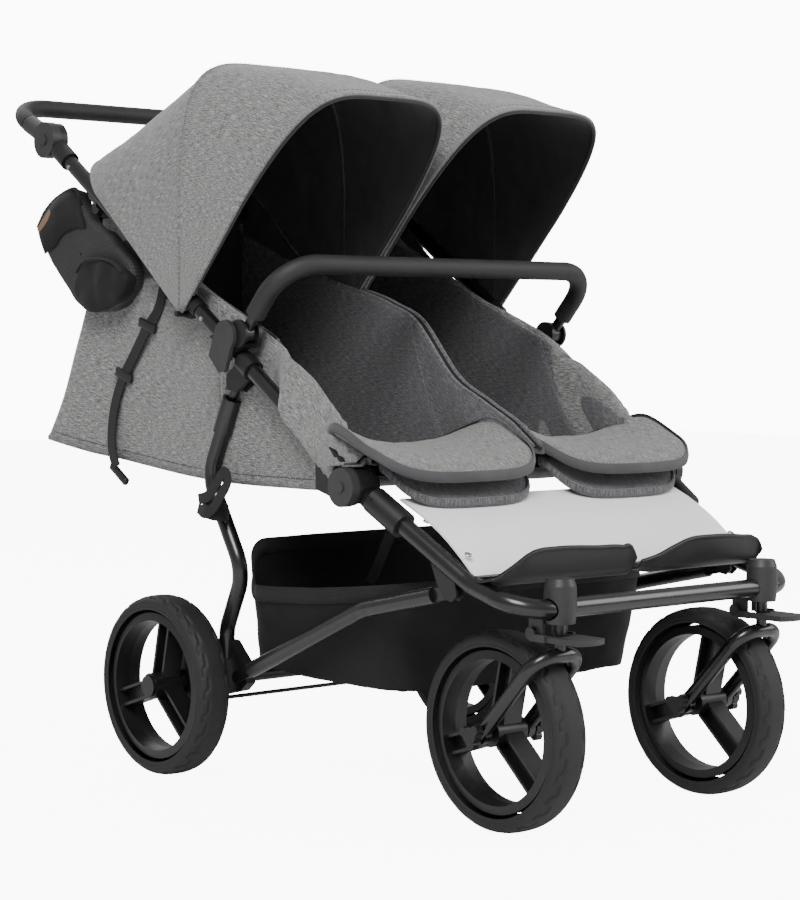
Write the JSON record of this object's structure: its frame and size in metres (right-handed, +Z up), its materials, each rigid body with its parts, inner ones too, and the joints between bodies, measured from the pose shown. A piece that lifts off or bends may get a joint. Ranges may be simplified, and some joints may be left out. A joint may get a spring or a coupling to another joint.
{
  "type": "twin stroller",
  "caption": "Side-by-side twin all-terrain stroller with folding four-bar frame, tilting handle, reclining seats under folding hoods, bumper bar, basket and swivelling front wheels.",
  "frame": {"origin": "on the floor under the middle of the whole object's box", "axes": "+Z up, -Y the direction of travel, +X to the passengers' left"},
  "size_m": [0.64, 1.1812, 1.002],
  "materials": {
    "black_tube": "satin black powder coat",
    "black_moulding": "fine-grained black nylon moulding",
    "grey_moulding": "fine-grained charcoal moulding",
    "rim": "satin black moulded rim",
    "tyre": "dull moulded tyre rubber",
    "grip": "soft matt foam rubber",
    "grey_cloth": "grey heather woven polyester",
    "black_cloth": "black woven nylon",
    "white_panel": "white gloss panel",
    "red_pedal": "red moulded pedal",
    "steel": "bright rivets"
  },
  "bodies": {
    "upper_frame": {"main_tube_left": "black_tube", "main_tube_right": "black_tube", "rear_cross_tube": "black_tube", "seat_cross_tube": "black_tube", "hinge_housings": "black_moulding", "hinge_caps": "grey_moulding", "bar_hubs": "black_moulding", "leg_brackets": "black_moulding", "adjuster_sockets": "black_moulding", "hood_clips": "black_moulding", "seat_shell_left": "grey_cloth", "seat_shell_right": "grey_cloth", "seat_pad_left": "grey_cloth", "seat_pad_right": "grey_cloth", "calf_pad_left": "grey_cloth", "calf_pad_right": "grey_cloth", "hood_rear_left": "grey_cloth", "hood_rear_right": "grey_cloth", "organiser_bag": "black_cloth", "frame_rivets": "steel"},
    "handle": {"handle_tube": "black_tube", "handle_grip": "grip", "adjuster_discs": "grey_moulding"},
    "bumper": {"bumper_bar": "black_tube", "bumper_grip": "grip"},
    "fold_lever_left": {"fold_lever_left": "grey_moulding"},
    "fold_lever_right": {"fold_lever_right": "grey_moulding"},
    "hood_left": {"hood_front_left": "grey_cloth", "hood_hoop_left": "black_cloth"},
    "hood_right": {"hood_front_right": "grey_cloth", "hood_hoop_right": "black_cloth"},
    "seat_back_left": {"seat_back_left": "black_cloth"},
    "seat_back_right": {"seat_back_right": "black_cloth"},
    "front_frame": {"front_tube": "black_tube", "hinge_sleeves": "black_moulding", "rail_brackets": "black_moulding", "footplate": "white_panel", "footrest_left": "grey_moulding", "footrest_right": "grey_moulding", "caster_housings": "grey_moulding"},
    "caster_left": {"fork_left": "black_tube", "front_axle_left": "black_moulding"},
    "caster_right": {"fork_right": "black_tube", "front_axle_right": "black_moulding"},
    "swivel_lever_left": {"swivel_lever_left": "grey_moulding"},
    "swivel_lever_right": {"swivel_lever_right": "grey_moulding"},
    "front_wheel_left": {"front_tyre_left": "tyre", "front_rim_left": "rim"},
    "front_wheel_right": {"front_tyre_right": "tyre", "front_rim_right": "rim"},
    "rail_frame": {"side_rails": "black_tube", "basket": "black_cloth"},
    "rear_frame": {"rear_legs": "black_tube", "rear_axle": "black_tube", "axle_brackets": "black_moulding"},
    "brake": {"brake_bar": "red_pedal"},
    "rear_wheel_left": {"rear_tyre_left": "tyre", "rear_rim_left": "rim"},
    "rear_wheel_right": {"rear_tyre_right": "tyre", "rear_rim_right": "rim"}
  },
  "joints": [
    {"name": "handle_tilt", "type": "hinge", "parent": "upper_frame", "child": "handle", "pos_m": [0, 0.454, 0.911], "axis": [1, 0, 0], "range_deg": [-45, 45]},
    {"name": "bumper_tilt", "type": "hinge", "parent": "upper_frame", "child": "bumper", "pos_m": [0, -0.032, 0.623], "axis": [1, 0, 0], "range_deg": [-35, 45]},
    {"name": "fold_lever_left_pull", "type": "hinge", "parent": "upper_frame", "child": "fold_lever_left", "pos_m": [0.306, -0.01, 0.619], "axis": [1, 0, 0], "range_deg": [0, 20], "stiffness_Nm_per_rad": 1},
    {"name": "fold_lever_right_pull", "type": "hinge", "parent": "upper_frame", "child": "fold_lever_right", "pos_m": [-0.306, -0.01, 0.619], "axis": [1, 0, 0], "range_deg": [0, 20], "stiffness_Nm_per_rad": 1},
    {"name": "hood_left_fold", "type": "hinge", "parent": "upper_frame", "child": "hood_left", "pos_m": [0.15, 0.104, 0.65], "axis": [1, 0, 0], "range_deg": [-41, 0], "deforming": ["hood_front_left"]},
    {"name": "hood_right_fold", "type": "hinge", "parent": "upper_frame", "child": "hood_right", "pos_m": [-0.15, 0.104, 0.65], "axis": [1, 0, 0], "range_deg": [-41, 0], "deforming": ["hood_front_right"]},
    {"name": "recline_left", "type": "hinge", "parent": "upper_frame", "child": "seat_back_left", "pos_m": [0.13, -0.105, 0.447], "axis": [1, 0, 0], "range_deg": [0, 42]},
    {"name": "recline_right", "type": "hinge", "parent": "upper_frame", "child": "seat_back_right", "pos_m": [-0.13, -0.105, 0.447], "axis": [1, 0, 0], "range_deg": [0, 42]},
    {"name": "frame_fold", "type": "hinge", "parent": "upper_frame", "child": "front_frame", "pos_m": [0, -0.257, 0.428], "axis": [1, 0, 0], "range_deg": [0, 85]},
    {"name": "rail_pivot", "type": "hinge", "parent": "front_frame", "child": "rail_frame", "pos_m": [0, -0.412, 0.305], "axis": [1, 0, 0], "range_deg": [-62.6, 0], "deforming": ["basket"]},
    {"name": "leg_pivot", "type": "hinge", "parent": "upper_frame", "child": "rear_frame", "pos_m": [0, 0.01, 0.556], "axis": [1, 0, 0], "range_deg": [0, 47.1]},
    {"name": "caster_left_swivel", "type": "hinge", "parent": "front_frame", "child": "caster_left", "pos_m": [0.188, -0.5315, 0.232], "axis": [0, 0, 1], "continuous": true},
    {"name": "front_wheel_left_spin", "type": "hinge", "parent": "caster_left", "child": "front_wheel_left", "pos_m": [0.188, -0.4335, 0.127], "axis": [1, 0, 0], "continuous": true},
    {"name": "swivel_lever_left_lift", "type": "hinge", "parent": "front_frame", "child": "swivel_lever_left", "pos_m": [0.188, -0.5065, 0.259], "axis": [1, 0, 0], "range_deg": [-8, 0]},
    {"name": "caster_right_swivel", "type": "hinge", "parent": "front_frame", "child": "caster_right", "pos_m": [-0.188, -0.5315, 0.232], "axis": [0, 0, 1], "continuous": true},
    {"name": "front_wheel_right_spin", "type": "hinge", "parent": "caster_right", "child": "front_wheel_right", "pos_m": [-0.188, -0.4335, 0.127], "axis": [1, 0, 0], "continuous": true},
    {"name": "swivel_lever_right_lift", "type": "hinge", "parent": "front_frame", "child": "swivel_lever_right", "pos_m": [-0.188, -0.5065, 0.259], "axis": [1, 0, 0], "range_deg": [-8, 0]},
    {"name": "rear_wheel_left_spin", "type": "hinge", "parent": "rear_frame", "child": "rear_wheel_left", "pos_m": [0.29, 0.155, 0.127], "axis": [1, 0, 0], "continuous": true},
    {"name": "rear_wheel_right_spin", "type": "hinge", "parent": "rear_frame", "child": "rear_wheel_right", "pos_m": [-0.29, 0.155, 0.127], "axis": [1, 0, 0], "continuous": true},
    {"name": "brake_press", "type": "hinge", "parent": "rear_frame", "child": "brake", "pos_m": [0, 0.181, 0.092], "axis": [1, 0, 0], "range_deg": [-20, 0]}
  ],
  "couplings": [
    {"joint": "rail_pivot", "follows": "frame_fold", "ratio": -0.7305},
    {"joint": "leg_pivot", "follows": "frame_fold", "ratio": 0.5485}
  ]
}
